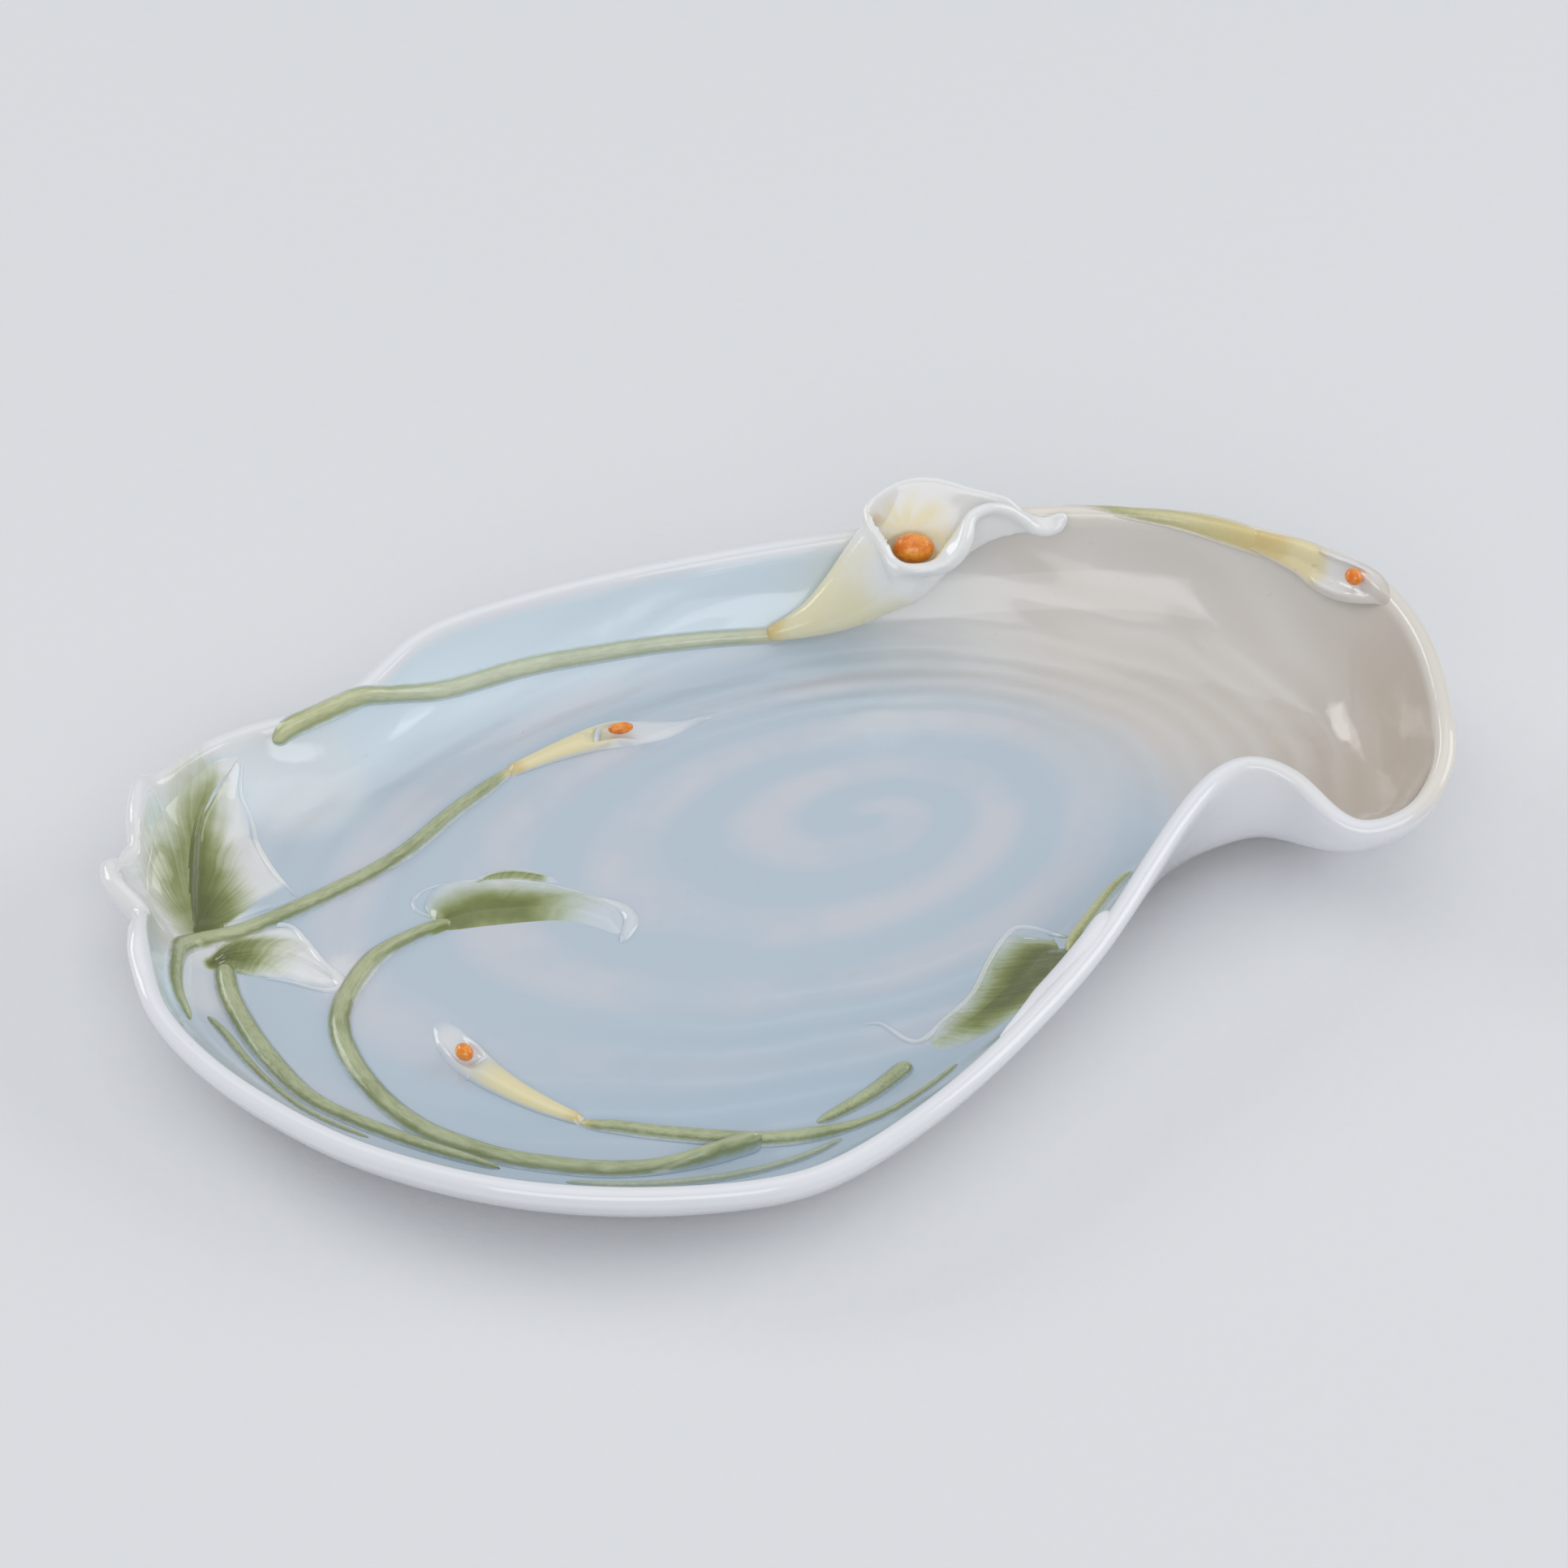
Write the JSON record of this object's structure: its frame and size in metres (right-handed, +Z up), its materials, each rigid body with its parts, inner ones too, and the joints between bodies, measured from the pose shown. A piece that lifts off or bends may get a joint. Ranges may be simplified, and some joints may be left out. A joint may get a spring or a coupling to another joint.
{
  "type": "decorative dish",
  "caption": "Shallow wave-shaped porcelain dish on a foot ring, with raised arum lilies, curling stems and leaves inside.",
  "frame": {"origin": "middle of the whole object's box, on the surface that the foot ring stands on", "axes": "+Z up; +X along the dish towards its curled lobe; +Y towards the higher wall that carries the large lily"},
  "size_m": [0.1918, 0.126, 0.0295],
  "materials": {
    "white_glaze": "gloss glaze over pale blue and lavender painting",
    "bare_porcelain": "unglazed",
    "green_glaze": "gloss glaze",
    "cream_glaze": "gloss glaze",
    "orange_glaze": "gloss glaze"
  },
  "bodies": {
    "root": {"dish_body": "white_glaze", "foot_ring": "bare_porcelain", "large_lily_stem": "green_glaze", "middle_lily_stem": "green_glaze", "centre_leaf_stem": "green_glaze", "corner_leaf_stem": "green_glaze", "wall_strand": "green_glaze", "corner_leaf_tendril": "green_glaze", "front_lily_stem": "green_glaze", "cut_stem": "green_glaze", "side_leaf_stem": "green_glaze", "rim_lily_stem": "green_glaze", "centre_leaf": "green_glaze", "side_leaf": "green_glaze", "side_leaf_fold": "green_glaze", "corner_leaf": "green_glaze", "corner_leaf_lobe": "green_glaze", "large_lily_spathe": "cream_glaze", "front_lily_spathe": "cream_glaze", "middle_lily_spathe": "cream_glaze", "rim_lily_spathe": "cream_glaze", "large_lily_spadix": "orange_glaze", "front_lily_spadix": "orange_glaze", "middle_lily_spadix": "orange_glaze", "rim_lily_spadix": "orange_glaze"}
  },
  "joints": []
}
